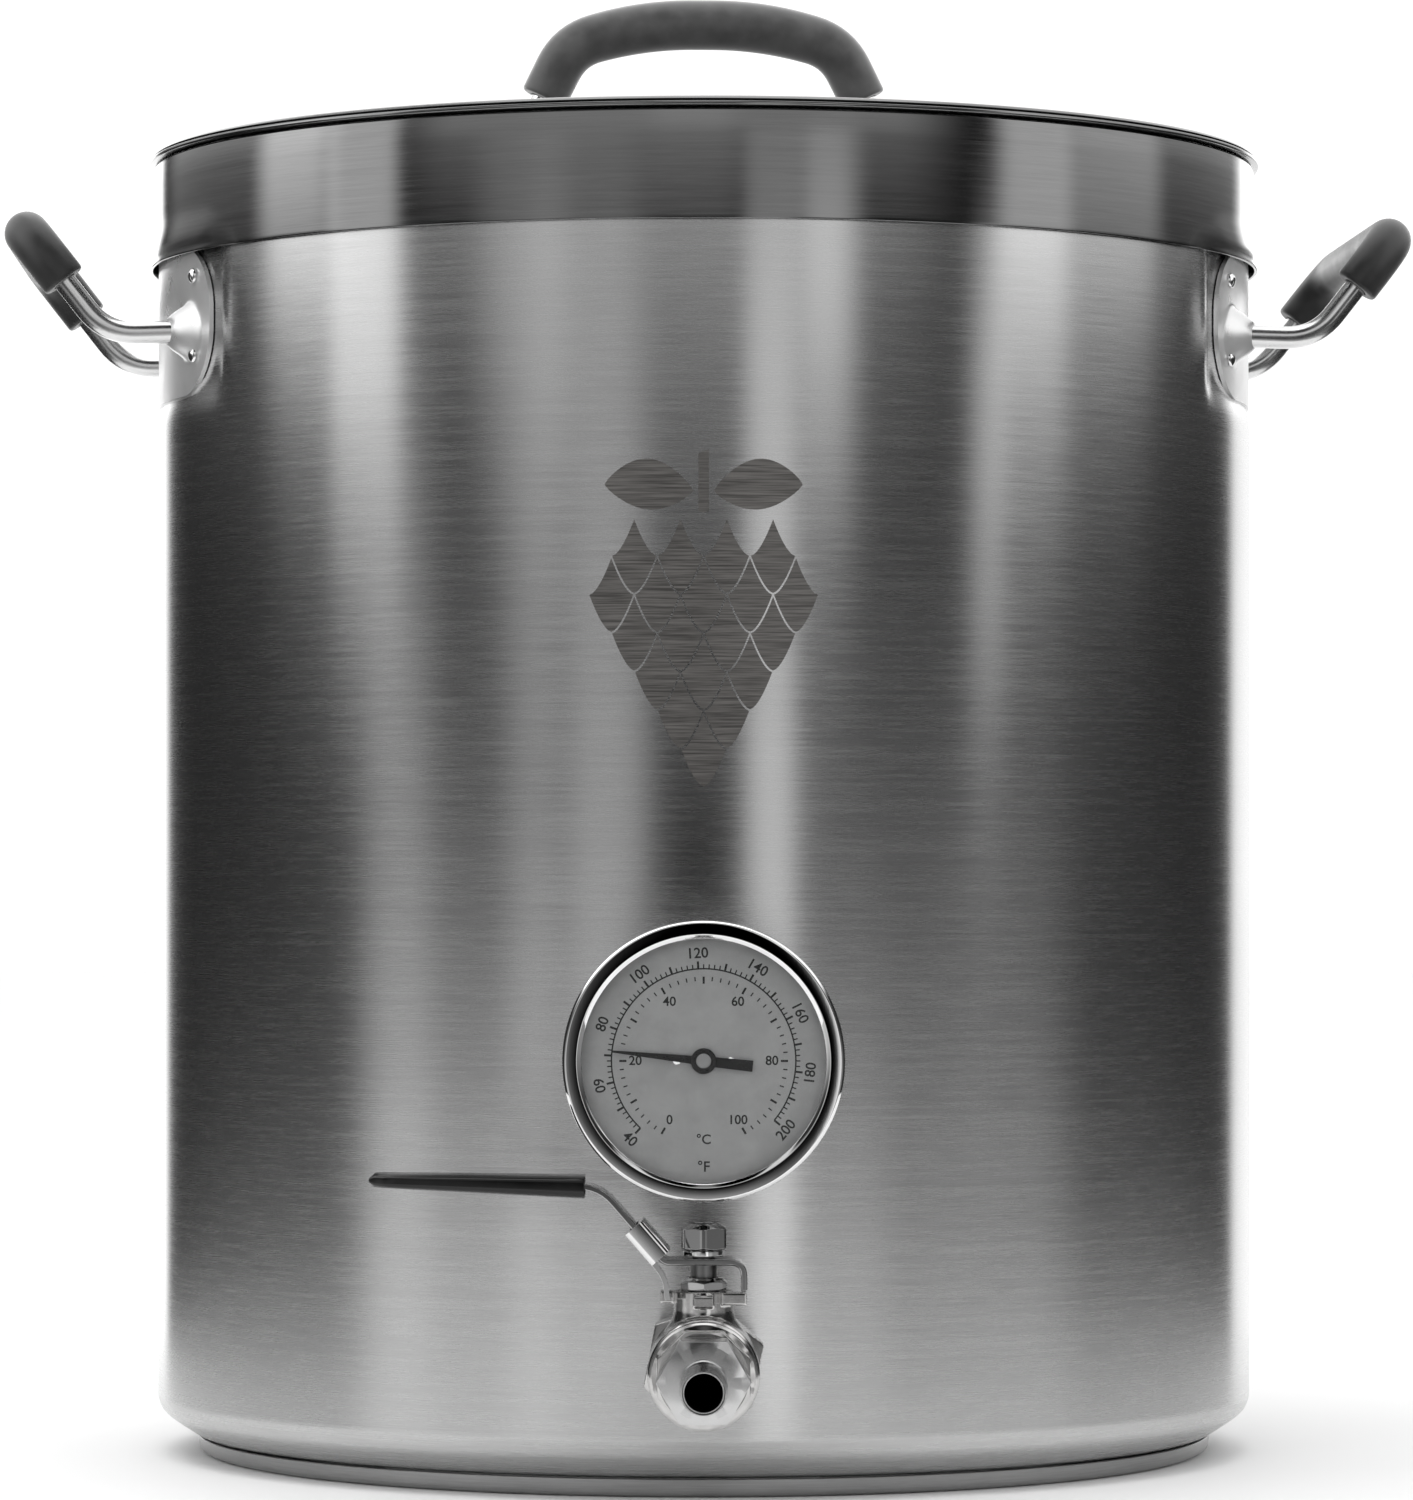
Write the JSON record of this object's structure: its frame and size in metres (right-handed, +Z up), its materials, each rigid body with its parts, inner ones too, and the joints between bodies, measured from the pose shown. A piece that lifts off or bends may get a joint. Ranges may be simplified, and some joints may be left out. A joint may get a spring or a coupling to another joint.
{
  "type": "brew kettle",
  "caption": "Tall round steel brew kettle with a lift-off lid, loop side handles, a front dial thermometer and a lever ball valve ending in a hose barb.",
  "frame": {"origin": "centre of the underside of the base, on the surface the kettle stands on", "axes": "+Z up the kettle's axis, -Y out of the front where the valve and thermometer are, +X to the right of someone facing them"},
  "size_m": [0.4576, 0.4761, 0.477],
  "materials": {
    "brushed_steel": "fine horizontal brushing round the wall",
    "band_steel": "bright, lightly streaked",
    "lid_steel": "bright with circular turning marks",
    "polished_steel": "mirror polished stainless steel",
    "cast_steel": "satin investment casting",
    "base_steel": "dull pressed steel",
    "core_aluminium": "mill finish",
    "bimetal_strip": "rolled strip",
    "black_silicone": "soft satin black",
    "black_vinyl": "dipped, glossy",
    "clear_silicone": "milky, satin",
    "white_ptfe": "waxy white",
    "dial_enamel": "matte light grey enamel",
    "pointer_black": "satin black",
    "lens_glass": "clear flat glass"
  },
  "bodies": {
    "kettle": {"kettle_body": "brushed_steel", "rim_band": "band_steel", "base_cap": "base_steel", "base_core": "core_aluminium", "right_handle_plate": "polished_steel", "right_handle_rod": "polished_steel", "right_handle_grip": "black_silicone", "right_handle_rivet_1": "polished_steel", "right_handle_rivet_2": "polished_steel", "right_handle_rivet_3": "polished_steel", "right_handle_rivet_4": "polished_steel", "left_handle_plate": "polished_steel", "left_handle_rod": "polished_steel", "left_handle_grip": "black_silicone", "left_handle_rivet_1": "polished_steel", "left_handle_rivet_2": "polished_steel", "left_handle_rivet_3": "polished_steel", "left_handle_rivet_4": "polished_steel", "thermometer_case": "brushed_steel", "thermometer_bezel": "polished_steel", "thermometer_dial": "dial_enamel", "thermometer_lens": "lens_glass", "thermometer_gasket": "black_silicone", "dial_screw_left": "polished_steel", "dial_screw_right": "polished_steel", "bimetal_coil": "bimetal_strip", "thermometer_probe": "brushed_steel", "thermometer_fitting": "polished_steel", "thermometer_seal": "clear_silicone", "thermometer_outer_nut": "polished_steel", "thermometer_inner_nut": "polished_steel", "valve_body": "cast_steel", "valve_end_cap": "cast_steel", "valve_seat_front": "white_ptfe", "valve_seat_rear": "white_ptfe", "stem_packing": "white_ptfe", "gland_nut": "cast_steel", "hose_barb": "polished_steel", "valve_nipple": "polished_steel", "valve_seal": "clear_silicone", "valve_locknut": "polished_steel"},
    "lid": {"lid_shell": "lid_steel", "lid_handle_rod": "polished_steel", "lid_handle_grip": "black_silicone", "lid_rivet_1": "polished_steel", "lid_rivet_2": "polished_steel", "lid_rivet_3": "polished_steel", "lid_rivet_4": "polished_steel"},
    "lever": {"valve_ball": "polished_steel", "valve_stem": "polished_steel", "lever_arm": "cast_steel", "lever_grip": "black_vinyl", "lever_washer": "cast_steel", "lever_nut": "cast_steel"},
    "lock": {"lock_slide": "cast_steel"},
    "pointer": {"pointer_needle": "pointer_black", "pointer_spindle": "pointer_black"}
  },
  "joints": [
    {"name": "lid_lift", "type": "slide", "parent": "kettle", "child": "lid", "axis": [0, 0, 1], "range_m": [0, 0.2]},
    {"name": "lever_turn", "type": "hinge", "parent": "kettle", "child": "lever", "pos_m": [0, -0.218, 0.043], "axis": [0, 0, 1], "range_deg": [0, 90]},
    {"name": "lock_slide_travel", "type": "slide", "parent": "lever", "child": "lock", "axis": [-0.6556, 0, 0.7551], "range_m": [0, 0.008]},
    {"name": "pointer_turn", "type": "hinge", "parent": "kettle", "child": "pointer", "pos_m": [0, -0.225, 0.1347], "axis": [0, 1, 0], "range_deg": [-66, 234]}
  ]
}
